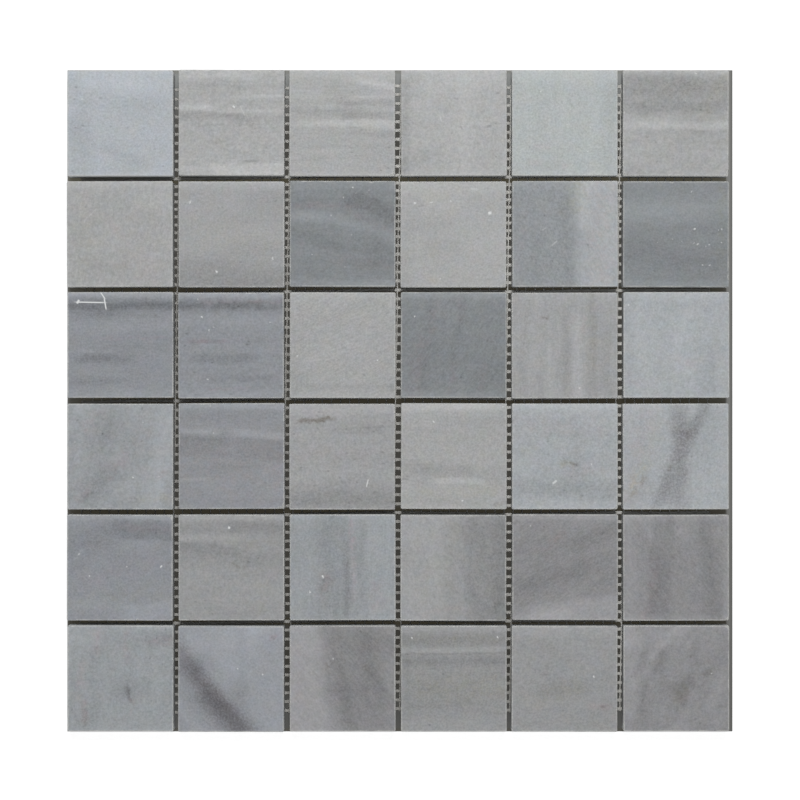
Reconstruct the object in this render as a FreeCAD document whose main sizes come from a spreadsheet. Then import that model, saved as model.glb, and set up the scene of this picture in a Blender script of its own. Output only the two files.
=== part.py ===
"""Mosaic tile sheet: square marble tiles bonded to a net of glass-fibre yarn.

The sheet lies flat. +Z is up, out of the honed faces, and +Y runs towards row 1.
The origin is under the middle of the sheet, on the plane that the net lies on.
All lengths are millimetres and all angles are degrees.
"""
import FreeCAD, Part
import math
import os

import Sketcher

# Driving dimensions, each on a line of its own in the spreadsheet
SIZES = {
    # Tiles: sawn square, honed, with the arrises just taken off
    "rows": 6,
    "columns": 6,
    "tile_side": 48.0,
    "tile_thick": 10.0,
    "joint_width": 2.4,
    "corner_round": 0.7,
    "arris": 0.35,
    # How far a tile strays from its true place and turn when the sheet is laid up
    "setting_error": 0.15,
    "turn_error": 0.15,
    # Lower layer of the net: cross yarns, left to right
    "weft_pitch": 4.0,
    "weft_width": 1.5,
    "weft_thick": 0.3,
    # Upper layer of the net: long yarns, which lean a little to one side
    "warp_pitch": 4.15,
    "warp_width": 0.9,
    "warp_thick": 0.3,
    "warp_lean": 1.0,
    # The net stops short of the tiles: first and last yarns, and the loose ends past them
    "net_inset_side": 8.5,
    "net_inset_end": 7.5,
    "yarn_tail": 1.2,
    # The net is bonded a little to the left of the sheet's middle
    "net_shift": 1.4,
}

# Lengths worked out from the driving dimensions, as the expressions that bind the model
TILE_PITCH = "(Sizes.tile_side + Sizes.joint_width)"
SHEET_ACROSS = "(Sizes.columns * Sizes.tile_side + (Sizes.columns - 1) * Sizes.joint_width)"
SHEET_UP = "(Sizes.rows * Sizes.tile_side + (Sizes.rows - 1) * Sizes.joint_width)"
WEFT_SPACES = "floor((%s - 2 * Sizes.net_inset_end) / Sizes.weft_pitch)" % SHEET_UP
WARP_SPACES = "floor((%s - 2 * Sizes.net_inset_side) / Sizes.warp_pitch)" % SHEET_ACROSS
WEFT_SPAN = "(%s * Sizes.weft_pitch)" % WEFT_SPACES
WARP_SPAN = "(%s * Sizes.warp_pitch)" % WARP_SPACES
NET_THICK = "(Sizes.weft_thick + Sizes.warp_thick)"

# Waves that give every tile its own small stray, the same at each build: across, up, turn
STRAY_WAVES = ((2.3, 4.1, 0.4), (3.7, 1.9, 1.3), (1.7, 5.3, 2.6))

# A sketch's own origin, as constraints name it
ORIGIN_POINT = (-1, 1)

TOUCH = 1e-6


def make_sheet(doc):
    """Puts the driving dimensions in the document's spreadsheet."""
    sheet = doc.addObject("Spreadsheet::Sheet", "Sizes")
    for line, (alias, value) in enumerate(SIZES.items(), start=1):
        sheet.set("A%d" % line, alias)
        sheet.set("B%d" % line, str(value))
        sheet.setAlias("B%d" % line, alias)
    doc.recompute()
    return sheet


def origin_feature(body, role):
    """The body's own origin plane or axis with the given role."""
    for feature in body.Origin.OriginFeatures:
        if feature.Role == role:
            return feature
    raise ValueError("no origin feature " + role)


def new_sketch(body, name, plane):
    sketch = body.newObject("Sketcher::SketchObject", name)
    sketch.AttachmentSupport = [(origin_feature(body, plane), "")]
    sketch.MapMode = "FlatFace"
    return sketch


def add_rectangle(sketch, left, bottom, right, top):
    """Four joined sides: 0 bottom, 1 right, 2 top and 3 left."""
    corners = [FreeCAD.Vector(*corner, 0) for corner in
               ((left, bottom), (right, bottom), (right, top), (left, top))]
    for side, kind in enumerate(("Horizontal", "Vertical", "Horizontal", "Vertical")):
        sketch.addGeometry(Part.LineSegment(corners[side], corners[(side + 1) % 4]), False)
        sketch.addConstraint(Sketcher.Constraint(kind, side))
    for side in range(4):
        sketch.addConstraint(Sketcher.Constraint("Coincident", side, 2, (side + 1) % 4, 1))


def drive(sketch, name, expression, kind, *places):
    """Adds a dimension to a sketch and binds it to the spreadsheet."""
    start = sketch.getPoint(places[0], places[1])
    end = sketch.getPoint(places[2], places[3])
    value = (end - start).x if kind == "DistanceX" else (end - start).y
    index = sketch.addConstraint(Sketcher.Constraint(kind, *places, value))
    sketch.renameConstraint(index, name)
    sketch.setExpression("Constraints." + name, expression)


def stray(row, column, wave):
    """A number between -1 and 1, a tile's share of the setting error."""
    along, down, phase = wave
    return math.sin(along * column + down * row + phase)


def is_upright(edge):
    first, last = edge.Vertexes[0].Point, edge.Vertexes[-1].Point
    return math.hypot(first.x - last.x, first.y - last.y) < TOUCH


def is_at_height(edge, height):
    return all(abs(vertex.Point.z - height) < TOUCH for vertex in edge.Vertexes)


def edge_names(shape, wanted):
    return ["Edge%d" % (number + 1) for number, edge in enumerate(shape.Edges) if wanted(edge)]


def make_tile(doc, row, column):
    """One marble tile: a sawn square slab, its corners rounded and its top arris taken off."""
    name = "tile_r%d_c%d" % (row + 1, column + 1)
    body = doc.addObject("PartDesign::Body", name)
    body.Label = name

    outline = new_sketch(body, name + "_outline", "XY_Plane")
    half = SIZES["tile_side"] / 2
    add_rectangle(outline, -half, -half, half, half)
    outline.addConstraint(Sketcher.Constraint("Symmetric", 0, 1, 2, 1, *ORIGIN_POINT))
    drive(outline, "across", "Sizes.tile_side", "DistanceX", 0, 1, 0, 2)
    drive(outline, "up", "Sizes.tile_side", "DistanceY", 1, 1, 1, 2)

    slab = body.newObject("PartDesign::Pad", name + "_slab")
    slab.Profile = outline
    slab.setExpression("Length", "Sizes.tile_thick")
    doc.recompute()

    corners = body.newObject("PartDesign::Fillet", name + "_corners")
    corners.Base = (slab, edge_names(slab.Shape, is_upright))
    corners.setExpression("Radius", "Sizes.corner_round")
    doc.recompute()

    top = slab.Shape.BoundBox.ZMax
    arris = body.newObject("PartDesign::Chamfer", name + "_arris")
    arris.Base = (corners, edge_names(corners.Shape, lambda edge: is_at_height(edge, top)))
    arris.setExpression("Size", "Sizes.arris")

    across, up, turn = [stray(row, column, wave) for wave in STRAY_WAVES]
    place = "(%d - (Sizes.%s - 1) / 2) * %s + Sizes.setting_error * %.3f"
    body.setExpression("Placement.Base.x", place % (column, "columns", TILE_PITCH, across))
    body.setExpression("Placement.Base.y", "-(" + place % (row, "rows", TILE_PITCH, up) + ")")
    body.setExpression("Placement.Base.z", NET_THICK)
    body.setExpression("Placement.Rotation.Angle", "Sizes.turn_error * %.3f" % turn)
    return body


def add_yarn_section(sketch, kind):
    """Flat section of a coated yarn, standing on the sketch's level axis."""
    width, thick = SIZES[kind + "_width"], SIZES[kind + "_thick"]
    add_rectangle(sketch, -width / 2, 0, width / 2, thick)
    sketch.addConstraint(Sketcher.Constraint("Symmetric", 0, 1, 0, 2, *ORIGIN_POINT))
    drive(sketch, "width", "Sizes.%s_width" % kind, "DistanceX", 0, 1, 0, 2)
    drive(sketch, "thick", "Sizes.%s_thick" % kind, "DistanceY", 1, 1, 1, 2)


def make_yarns(doc, kind, plane, across, spaces, span, length):
    """One layer of the net: a yarn padded to its length, and repeated side by side."""
    name = "net_" + kind
    body = doc.addObject("PartDesign::Body", name)
    body.Label = name
    body.AllowCompound = True

    section = new_sketch(body, name + "_section", plane)
    add_yarn_section(section, kind)
    section.setExpression("AttachmentOffset.Base.x", "-%s / 2" % span)

    yarn = body.newObject("PartDesign::Pad", name + "_yarn")
    yarn.Profile = section
    yarn.SideType = "Symmetric"
    yarn.setExpression("Length", length)
    doc.recompute()

    layer = body.newObject("PartDesign::LinearPattern", name + "_layer")
    layer.Originals = [yarn]
    layer.Direction = (origin_feature(body, across), [""])
    layer.Mode = "Spacing"
    layer.setExpression("Offset", "Sizes.%s_pitch" % kind)
    layer.setExpression("Occurrences", spaces + " + 1")
    body.Tip = layer
    body.setExpression("Placement.Base.x", "-Sizes.net_shift")
    return body


def make_net(doc):
    """The two yarn layers, the cross yarns below and the long yarns on them."""
    weft = make_yarns(doc, "weft", "YZ_Plane", "Y_Axis", WEFT_SPACES, WEFT_SPAN,
                      WARP_SPAN + " + 2 * Sizes.yarn_tail")
    warp = make_yarns(doc, "warp", "XZ_Plane", "X_Axis", WARP_SPACES, WARP_SPAN,
                      WEFT_SPAN + " + 2 * Sizes.yarn_tail")
    warp.setExpression("Placement.Base.z", "Sizes.weft_thick")
    warp.setExpression("Placement.Rotation.Angle", "-Sizes.warp_lean")
    return [weft, warp]


def check(doc, pieces):
    """Stops unless every object was made and every piece is sound."""
    for item in doc.Objects:
        if "Invalid" in item.State or "Error" in item.State:
            raise RuntimeError("%s failed: %s" % (item.Label, item.State))
    for piece in pieces:
        if piece.Shape.isNull() or not piece.Shape.isValid():
            raise RuntimeError(piece.Label + " is not a sound solid")


def main():
    doc = FreeCAD.newDocument("MosaicTileSheet")
    make_sheet(doc)
    pieces = [
        make_tile(doc, row, column)
        for row in range(SIZES["rows"])
        for column in range(SIZES["columns"])
    ]
    pieces += make_net(doc)
    doc.recompute()
    check(doc, pieces)

    os.makedirs("parts", exist_ok=True)
    for piece in pieces:
        piece.Shape.exportStep("parts/%s.step" % piece.Label)
        print(piece.Label, len(piece.Shape.Solids), "solids", round(piece.Shape.Volume, 1), "mm3")


main()
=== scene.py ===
"""The mosaic tile sheet as it looks: honed marble tiles on a net of glass-fibre yarn.

The sheet lies flat and the camera looks straight down on it, with row 1 at the top of
the picture. Sizes in tables and materials are millimetres; Blender's own are metres.
"""

import math

import bmesh
import bpy
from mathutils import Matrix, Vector, noise


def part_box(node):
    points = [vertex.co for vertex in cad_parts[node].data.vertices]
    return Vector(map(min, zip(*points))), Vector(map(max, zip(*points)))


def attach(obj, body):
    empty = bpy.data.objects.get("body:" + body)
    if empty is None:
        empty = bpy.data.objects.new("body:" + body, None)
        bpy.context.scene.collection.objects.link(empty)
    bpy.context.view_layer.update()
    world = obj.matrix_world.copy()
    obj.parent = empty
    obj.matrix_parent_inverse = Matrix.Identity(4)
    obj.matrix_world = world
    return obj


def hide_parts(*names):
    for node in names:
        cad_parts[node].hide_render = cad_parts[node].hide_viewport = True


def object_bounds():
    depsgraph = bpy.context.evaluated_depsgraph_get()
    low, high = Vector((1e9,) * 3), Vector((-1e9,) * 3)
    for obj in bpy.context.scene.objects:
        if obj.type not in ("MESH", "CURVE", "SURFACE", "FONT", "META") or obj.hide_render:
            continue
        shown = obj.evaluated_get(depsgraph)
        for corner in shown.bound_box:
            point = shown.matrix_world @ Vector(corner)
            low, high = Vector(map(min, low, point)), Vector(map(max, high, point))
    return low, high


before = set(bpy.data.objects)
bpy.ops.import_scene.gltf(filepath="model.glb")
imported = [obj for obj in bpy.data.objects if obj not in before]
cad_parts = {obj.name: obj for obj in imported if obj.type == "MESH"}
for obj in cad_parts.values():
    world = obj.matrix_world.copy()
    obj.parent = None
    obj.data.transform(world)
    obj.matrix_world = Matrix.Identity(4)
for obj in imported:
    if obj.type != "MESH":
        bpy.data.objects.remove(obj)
cad_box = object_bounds()

MM = 0.001
ROWS = 6
COLUMNS = 6
HALF_TILE = 24.0
TILE_PITCH = 50.4

# Heights of the tiles' faces and backs in metres and half the sheet's width in millimetres,
# read from the imported model
TILE_LOW, TILE_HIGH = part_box("tile_r1_c1")
FACE_Z = TILE_HIGH.z
BACK_Z = TILE_LOW.z
SHEET_HALF = cad_box[1].x / MM

# Common to the finishes: how deep their bumps are and how strongly they shine; and to the
# meshes: the distance in metres within which corners are merged
BUMP_DEPTH = 0.05
SPECULAR = 0.4
MERGE = 1e-6


def srgb(red, green, blue):
    """A colour as a screen shows it, 0 to 255, turned into the linear values of a shader."""
    return tuple(
        (v / 255 / 12.92) if v <= 10 else ((v / 255 + 0.055) / 1.055) ** 2.4
        for v in (red, green, blue)
    ) + (1.0,)


# Shades of the stone, as a mason would sort the tiles
SHADES = {
    "frost": srgb(173, 178, 183),
    "cloud": srgb(170, 171, 171),
    "lichen": srgb(174, 179, 179),
    "pearl": srgb(162, 163, 163),
    "haze": srgb(164, 168, 171),
    "dove": srgb(156, 157, 158),
    "steel": srgb(149, 153, 156),
    "ash": srgb(146, 147, 148),
    "pewter": srgb(139, 142, 147),
    "flint": srgb(136, 136, 138),
    "slate": srgb(129, 133, 136),
}
WHITE_CALCITE = srgb(224, 226, 226)
BRUISED_EDGE = srgb(206, 206, 202)
# Sawn sides are paler, and paler still as painted light on the joints' walls
SAWN_SIDE_WITH_PAINTED_LIGHT = srgb(200, 202, 202)
ADHESIVE_FILM = srgb(176, 176, 166)
YARN_DULL = srgb(198, 196, 190)
YARN_BRIGHT = srgb(232, 231, 227)
YARN_SOILED = srgb(174, 170, 161)
# Painted shade on the yarns, towards the sheet's lower left
YARN_PAINTED_SHADE = srgb(104, 101, 95)


class Tree:
    """A node tree with short calls for the nodes that the finishes use."""

    def __init__(self, tree):
        self.tree = tree

    def add(self, kind, *inputs, **settings):
        node = self.tree.nodes.new("ShaderNode" + kind)
        for name, value in settings.items():
            setattr(node, name, value)
        for index, value in enumerate(inputs):
            self.put(node.inputs[index], value)
        return node

    def put(self, socket, value):
        if isinstance(value, bpy.types.NodeSocket):
            self.tree.links.new(value, socket)
        elif value is not None:
            socket.default_value = value

    def math(self, operation, *inputs, clamp=False):
        return self.add("Math", *inputs, operation=operation, use_clamp=clamp).outputs[0]

    def vector(self, operation, *inputs):
        node = self.add("VectorMath", *inputs, operation=operation)
        return node.outputs["Value" if operation in ("DOT_PRODUCT", "DISTANCE") else "Vector"]

    def mapped(self, vector, place=(0, 0, 0), turn=(0, 0, 0), scale=(1, 1, 1)):
        return self.add("Mapping", vector, place, turn, scale).outputs[0]

    def noise(self, vector, scale, detail=2.0, rough=0.5, distortion=0.0):
        node = self.add("TexNoise", vector)
        for name, value in (
            ("Scale", scale), ("Detail", detail), ("Roughness", rough), ("Distortion", distortion),
        ):
            node.inputs[name].default_value = value
        return node.outputs["Fac"]

    def place(self):
        """Place on the sheet in millimetres."""
        coordinates = self.add("TexCoord").outputs["Object"]
        return self.vector("MULTIPLY", coordinates, (1 / MM,) * 3)

    def drift(self, vector, scale, rough):
        """Three independent noises about zero, as one vector."""
        node = self.add("TexNoise", vector)
        for name, value in (("Scale", scale), ("Detail", 5.0), ("Roughness", rough)):
            node.inputs[name].default_value = value
        return self.vector("SUBTRACT", node.outputs["Color"], (0.5, 0.5, 0.5))

    def bump(self, height, strength):
        node = self.add("Bump")
        node.inputs["Strength"].default_value = strength
        node.inputs["Distance"].default_value = BUMP_DEPTH * MM
        self.put(node.inputs["Height"], height)
        return node.outputs[0]

    def ramp(self, value, low, high, to_low=0.0, to_high=1.0, smooth=True):
        kind = "SMOOTHSTEP" if smooth else "LINEAR"
        node = self.add("MapRange", value, low, high, to_low, to_high, interpolation_type=kind)
        return node.outputs[0]

    def mix(self, factor, first, second, blend="MIX"):
        node = self.add("Mix", data_type="RGBA", blend_type=blend)
        for name, value in (("Factor_Float", factor), ("A_Color", first), ("B_Color", second)):
            socket = next(s for s in node.inputs if s.identifier == name)
            self.put(socket, value)
        return next(s for s in node.outputs if s.identifier == "Result_Color")

    def cells(self, vector, scale):
        node = self.add("TexVoronoi", vector)
        node.inputs["Scale"].default_value = scale
        return node.outputs["Distance"], node.outputs["Color"]


def new_material(name):
    material = bpy.data.materials.new(name)
    material.use_nodes = True
    material.node_tree.nodes.clear()
    return material, Tree(material.node_tree)


def finish_material(tree, colour, rough, normal):
    shader = tree.add("BsdfPrincipled")
    for name, value in (
        ("Base Color", colour), ("Roughness", rough), ("Normal", normal),
        ("Specular IOR Level", SPECULAR),
    ):
        tree.put(shader.inputs[name], value)
    tree.add("OutputMaterial", shader.outputs[0])


def make_mark_group():
    """Mask of one mark on a tile: a soft stroke with a place, turn, length, width and bend."""
    group = bpy.data.node_groups.new("mark", "ShaderNodeTree")
    face = group.interface
    for name, kind in (
        ("Place", "NodeSocketVector"), ("Centre", "NodeSocketVector"), ("Turn", "NodeSocketFloat"),
        ("Half Length", "NodeSocketFloat"), ("Half Width", "NodeSocketFloat"),
        ("Bend", "NodeSocketFloat"), ("Core", "NodeSocketFloat"), ("Strength", "NodeSocketFloat"),
    ):
        face.new_socket(name, in_out="INPUT", socket_type=kind)
    face.new_socket("Mask", in_out="OUTPUT", socket_type="NodeSocketFloat")
    tree = Tree(group)
    given = group.nodes.new("NodeGroupInput").outputs
    away = tree.vector("SUBTRACT", given["Place"], given["Centre"])
    turned = tree.add("VectorRotate", rotation_type="Z_AXIS")
    tree.put(turned.inputs["Vector"], away)
    tree.put(turned.inputs["Angle"], tree.math("MULTIPLY", given["Turn"], -1.0))
    parts = tree.add("SeparateXYZ", turned.outputs[0]).outputs
    sag = tree.math("MULTIPLY", tree.math("MULTIPLY", parts[0], parts[0]), given["Bend"])
    beside = tree.math("ABSOLUTE", tree.math("SUBTRACT", parts[1], sag))
    across = tree.math("DIVIDE", beside, given["Half Width"])
    along = tree.math("DIVIDE", tree.math("ABSOLUTE", parts[0]), given["Half Length"])
    side = tree.ramp(across, given["Core"], 1.0, 1.0, 0.0)
    end = tree.ramp(along, 0.55, 1.0, 1.0, 0.0)
    mask = tree.math("MULTIPLY", tree.math("MULTIPLY", side, end), given["Strength"])
    tree.put(group.nodes.new("NodeGroupOutput").inputs[0], mask)
    return group


MARK = make_mark_group()

# Kinds of mark: how hard its sides are, whether its edges wander, and how it works. A kind
# with no colour makes the stone lighter or darker by its strength. A "stain" multiplies the
# stone's own colour and is peppered by the grain, a "tinge" does so in patches, and a "cover"
# lies over it.
MARK_KINDS = {
    "cloud": (0.0, True, None, None),
    "slab": (0.5, True, None, None),
    "line": (0.2, False, None, None),
    "vein": (0.1, True, "stain", (0.47, 0.43, 0.44, 1)),
    "brown": (0.0, True, "stain", (0.50, 0.43, 0.36, 1)),
    "rose": (0.0, True, "tinge", (1.07, 0.945, 0.955, 1)),
    "ochre": (0.0, True, "tinge", (1.015, 0.98, 0.83, 1)),
    "scratch": (0.3, False, "cover", WHITE_CALCITE),
}

# Every tile: its shade; the run of its bed in degrees, with the strength of its streaks, of
# its fine hatching and of its clouding; its clouds, as x, y, turn, half length, half width
# and strength in percent; its other marks, as kind, x, y, turn, half length, half width, bend
# and strength in percent; and its white crystals, as x, y and radius
TILES = {
    (1, 1): ("frost", (0, 0.2, 0.3, 0.7), [
        (0, 17, 0, 30, 7, 7), (-18, -4, 90, 30, 8, -7), (2, -15, -25, 14, 5, -8), (14, 18, 0, 24, 8, 5),
        (-6, 20, 0, 14, 4, 4), (-18, 14, 60, 14, 6, 6),
    ], [
        ("ochre", 9, 2, 70, 12, 6, 0, 15),
    ], [(-17, 11, 0.5), (-15, 6, 0.4), (18, 9, 0.4), (-22, 17, 0.4), (10, -19, 0.4)]),
    (1, 2): ("cloud", (-1, 1, 0.3, 0.5), [
        (15, 15, 0, 12, 8, 7), (-14, -20.5, 3, 12, 2.4, 9), (-8, 21.4, -1, 24, 2.4, 11),
        (-10, 3, -4, 22, 3.6, -14), (10, 16, -3, 20, 3, -8), (-8, 14, 86, 9, 1.4, -6),
        (16, 9.6, 0, 14, 1.4, -7), (14, 1.6, 0, 14, 2.4, -6), (-4, -1.2, 0, 24, 1.2, -5),
        (-16, 17, -3, 12, 2.4, -5), (0, 0, 0, 90, 40, -5),
    ], [
        ("line", -17, 6.9, -1, 12, 2.2, 0, 19), ("line", 8, 5.2, -2, 19, 1.6, 0, 12),
        ("line", 12, 11.8, 2, 15, 1.2, 0, 11), ("slab", 10, -21.3, 1, 24, 3.6, 0, 17),
        ("line", 8, -17.4, 0, 5, 0.9, 0, -18), ("scratch", 5, 5.3, -65, 3.2, 0.3, 0, 25),
    ], [(1, 7, 0.7), (20, -19, 0.4)]),
    (1, 3): ("cloud", (1, 1, 0.3, 0.5), [
        (0, 10, -45, 12, 7, -9), (17, 17.5, -14, 13, 2.6, 19), (4, 0.1, 1, 32, 2.8, 19),
        (19, -1.4, -4, 12, 2.8, 8), (12, 9.2, -1, 16, 2, -13), (-2, 4.4, -2, 32, 3.2, -12),
        (-12, 10, 0, 14, 2, -6), (0, -8, 0, 90, 30, -8), (-12, 18, 0, 16, 4, -5),
        (-12, 12.6, 0, 12, 1.8, 5), (14, -5, 0, 14, 3, -5),
    ], [
        ("line", 16, 11.9, 0, 12, 1, 0, 10), ("line", -1, -12, 0, 10, 1, 0, 7),
    ], []),
    (1, 4): ("cloud", (0, 0.3, 0.4, 0.7), [
        (5, 0, 90, 28, 7, 6), (-15, -15, 0, 12, 8, -8), (4, 19, 4, 24, 9, 10),
        (-23, -6, 88, 34, 6, -14), (18, -14, 90, 18, 7, -4), (-18, -18, 30, 10, 5, -7),
    ], [
        ("line", -5, 18, -52, 5, 0.8, 0, -6), ("line", 13, 5, 40, 1.4, 0.8, 0, -20),
        ("line", 16, -1.5, 10, 1.4, 0.8, 0, -20), ("line", 3.5, -2.5, -60, 1.8, 0.6, 0, -16),
        ("line", 1, 11, -20, 1.6, 0.7, 0, -14), ("scratch", -6, 2, -75, 2, 0.5, 0, 25),
    ], []),
    (1, 5): ("lichen", (90, 0.3, 0.4, 0.6), [
        (20, -4, 88, 26, 5, -5), (0, 20, 0, 30, 6, 4), (-8, -20, 0, 24, 6, -4),
    ], [
        ("rose", -10, -10.5, 5, 5, 2.4, 0, 50), ("rose", -14, -18, 0, 4, 2.4, 0, 40),
        ("rose", 0, -19, 0, 3, 2.4, 0, 40),
    ], [(-11, 14, 0.5), (1, -1, 0.4), (11, -2, 0.5), (11, -13, 0.5), (-17, 4, 0.4)]),
    (1, 6): ("pearl", (0, 0.5, 0.3, 1.2), [
        (1, 6, 0, 26, 5, -12), (0, -1, 0, 80, 2.6, 20), (0, 23.4, 0, 60, 3, 8), (0, -12, 0, 60, 12, 5),
        (14, -4, 0, 12, 2, -5), (13, 16, 0, 14, 6, -4),
    ], [
        ("slab", 0, 14.5, 0, 60, 12, 0, -14), ("brown", 12, 17, 0, 18, 7, 0, 9),
        ("ochre", 18, 12, 60, 18, 6, 0, 25),
    ], [(9, 23, 0.5), (4, 9.6, 0.4)]),
    (2, 1): ("pearl", (80, 0.2, 0.9, 0.7), [
        (15, 15, 0, 12, 8, 10), (-5, -15, 0, 12, 8, -8), (0, 22.6, 0, 50, 3, 5),
    ], [
        ("rose", 8, -12, -60, 16, 9, 0, 22), ("rose", -3, 3, -50, 8, 4, 0, 22),
        ("ochre", -16, -2, 90, 24, 7, 0, 18), ("scratch", -12.5, 9.5, 48, 3.4, 0.4, 0, 12),
        ("scratch", -15.5, 6.5, 60, 3, 0.4, 0, 8),
    ], []),
    (2, 2): ("dove", (0, 0.3, 0.6, 0.7), [
        (10, -5, 0, 15, 8, -8), (0, -22, -1, 70, 17, -17), (-12, 14, 8, 20, 8, 6), (0, 23, 0, 60, 5, 8),
        (2, 0, 0, 26, 9, 6), (-12, -13, 0, 14, 3, -5), (8, -22.4, 0, 30, 2.4, -6),
    ], [
        ("ochre", 4, -2, 0, 26, 8, 0, 20),
    ], [(-19, 14.5, 0.6), (0.5, -14.5, 0.4), (-6.5, -16.8, 0.8), (18.5, -11, 0.5)]),
    (2, 3): ("slate", (-4, 0.5, 0.7, 0.8), [
        (15, 2, 90, 22, 8, -4), (14, 15, -24, 12, 4, -6), (-12, 15.4, 0, 12, 2.4, -8),
        (-16, 9, 4, 12, 3.6, 10), (-14, -2, -16, 18, 5, -10), (8, -7, -4, 22, 5, -9),
        (14, -13, -4, 14, 3, -7), (0, -15, 0, 60, 8, -4), (0, -22.4, 0, 50, 3, 14),
        (0, 22, 0, 40, 3, 5),
    ], [
        ("vein", 13, 12, -20, 17, 6, -0.005, 40), ("rose", -8, 12.6, -3, 20, 2.4, 0, 50),
        ("rose", 14, 5, -24, 14, 2.6, 0, 40), ("rose", 10, -13, -6, 18, 4, 0, 40),
        ("rose", -19, -3, -60, 4, 2.4, 0, 50), ("cloud", 1, 5.2, -12, 30, 4.2, -0.004, 18),
    ], [
        (4.5, 21, 0.6), (0, 16.5, 0.5), (-5.5, 8, 0.5), (1, -14.5, 0.4), (-14, -9.5, 0.5), (6, 18, 0.4),
        (4, -0.5, 0.4), (12, 19.4, 0.4),
    ]),
    (2, 4): ("pearl", (0, 0.3, 0.4, 0.6), [
        (-5, 15, 0, 12, 8, 9), (-5, -5, 0, 12, 8, -9), (-22, -10, 84, 24, 7, -7), (-9, 4, 0, 14, 6, -6),
        (0, 21, 0, 50, 6, 9), (2, -4, 0, 60, 30, 7.5),
    ], [
        ("ochre", -10, 17, 0, 12, 6, 0, 22), ("ochre", -8, -7, 60, 6, 3.4, 0, 30),
        ("ochre", -9, -21, 0, 3, 2, 0, 30), ("scratch", 9.5, 20.5, -10, 2.2, 0.8, 0, 25),
        ("line", -14.6, 13, 20, 1.8, 0.8, 0, -12),
    ], [(-18, 14.5, 0.6), (-10, 14.5, 0.5), (-1, 15, 0.5), (16.5, 9.5, 1.1), (-6, -20.5, 0.5)]),
    (2, 5): ("steel", (-66, 0.5, 1.2, 0.6), [
        (2, -6, 92, 30, 5.5, -11), (20, 4, 88, 60, 9, 8), (8, 14, 84, 14, 9, 15),
        (-13, -8, 84, 14, 4, -5),
    ], [
        ("slab", -12, 0, 88, 60, 18, 0, -10), ("slab", 16, 0, 88, 60, 13, 0, 18),
        ("ochre", 5, 17, 84, 9, 8, 0, 50), ("rose", -20, -6, 80, 20, 4, 0, 25),
        ("scratch", -4.8, -4.2, 42, 2, 0.5, 0, 25), ("rose", 16, 0, 88, 60, 14, 0, 35),
        ("ochre", 16, 2, 88, 60, 12, 0, 12), ("scratch", -9.5, 2.2, 30, 1.4, 0.4, 0, 20),
    ], []),
    (2, 6): ("slate", (-6, 0.4, 0.6, 0.9), [
        (4, 11.6, 0, 60, 11, 20), (-4, -10, -4, 50, 12, -5), (-4, -14, -6, 12, 4, -8),
        (-12, 8, -4, 20, 7, 6), (10, 2.6, -6, 18, 2, -6), (0, -22.4, 0, 50, 3, 12),
        (16, 19, -8, 12, 3, 5), (8, -12, -4, 14, 2.4, -5),
    ], [
        ("rose", -6, -8, -6, 22, 6, 0, 15), ("ochre", 21, 0, 90, 30, 4, 0, 30),
    ], [
        (8, 2.5, 0.6), (19, 2, 0.5), (20.6, 2, 0.5), (-8, -3.5, 0.4), (-2, -2.4, 0.4), (3, -3.2, 0.4),
        (8.2, -4, 0.4), (10, -4.6, 0.5), (13.4, -5.6, 0.4), (15, -4.8, 0.5), (21, -4.5, 0.5),
        (12, -14, 0.5), (15.5, -14, 0.5), (6.5, 19.5, 0.5),
    ]),
    (3, 1): ("pewter", (0, 0.7, 0.7, 0.7), [
        (2, 18.2, 0, 60, 4.6, -27), (12, 18, 0, 18, 3.4, -12), (-12, 16, 0, 14, 4.5, -11),
        (2, 13.6, 0, 24, 3, -9), (-8, -6.4, 0, 17, 4.2, -22), (-10, -5.4, 0, 8, 2.4, -10),
        (4, -1, 0, 22, 3, -9), (-10, -16.4, 0, 16, 3.2, -9), (0, -22, 0, 60, 3.5, 10),
        (0, 23.4, 0, 60, 2.6, 18), (-12, 8, 0, 20, 4.5, 8), (13, 9, 0, 14, 6, 8),
    ], [
        ("rose", 6, 3.2, 0, 20, 1.6, 0, 50), ("scratch", -13.6, 19.3, -1, 8.4, 0.42, 0, 95),
        ("scratch", -8, 22.4, -56, 2.4, 0.4, 0, 85), ("scratch", -6.9, 18.6, -80, 3.2, 0.42, 0, 95),
        ("scratch", -19.2, 19.6, 60, 1.2, 0.7, 0, 90),
    ], []),
    (3, 2): ("pewter", (0, 0.7, 0.6, 0.7), [
        (-2, 18, 0, 60, 4.6, -22), (-20, 18, 0, 11, 3.2, -16), (3, 18, 0, 14, 2.6, -18),
        (-12, 1.6, 0, 12, 1.6, -14), (10, 1.8, 0, 12, 1.2, -7), (-4, -6.2, -2, 18, 3.8, -14),
        (4, -15, 0, 22, 3, -11), (0, 23.4, 0, 60, 2.4, 18), (0, 11, 0, 50, 4.5, 7),
        (-14, -9, 0, 12, 2, 5), (0, -22, 0, 50, 2.6, 10), (10, -5, 0, 16, 2.4, -6),
    ], [
        ("rose", 6, 19.6, 0, 24, 1.6, 0, 50), ("rose", -11, 1.8, 0, 14, 1.8, 0, 80),
        ("rose", 0, -19.4, 0, 14, 1.2, 0, 50),
    ], [
        (-14.5, 21, 0.5), (-13, 13, 0.7), (-10, 7, 0.5), (-11, -15, 0.5), (-8.5, 8, 0.4),
        (18, 10.5, 0.4),
    ]),
    (3, 3): ("pearl", (24, 0.4, 1.5, 0.6), [
        (4, -19, 0, 34, 3.4, -9), (-21, -10, 88, 18, 5, -6), (-4, 14, 20, 24, 4, -4),
    ], [
        ("line", -12, -6.6, 4, 10, 0.8, 0, 6),
    ], [(-20.5, -5, 0.5), (16, -7, 0.6)]),
    (3, 4): ("slate", (54, 0.3, 1.5, 1), [
        (4, 16, 84, 10, 2.6, -10), (-12, 3, 84, 26, 4, -6), (0, -4, 0, 80, 34, -8),
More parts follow.
